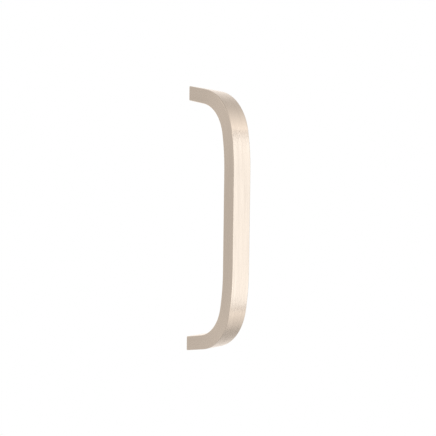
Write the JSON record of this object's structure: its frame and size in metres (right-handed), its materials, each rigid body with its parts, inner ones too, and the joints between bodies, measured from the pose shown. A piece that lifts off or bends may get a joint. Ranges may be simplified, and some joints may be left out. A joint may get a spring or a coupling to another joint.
{
  "type": "cabinet handle",
  "caption": "Bow-shaped cabinet handle of flat satin metal bar with rounded bends, legs that spread towards the door, and a blind tapped screw hole in each foot.",
  "frame": {"origin": "on the door's face, midway between the two screw holes", "axes": "+Z along the handle's length, upwards as in the picture; +Y into the door; the grip stands off in -Y; X across the bar"},
  "size_m": [0.011, 0.036, 0.137],
  "materials": {
    "satin_nickel": "warm satin nickel plate, finely brushed along the bar"
  },
  "bodies": {
    "root": {"handle": "satin_nickel"}
  },
  "joints": []
}
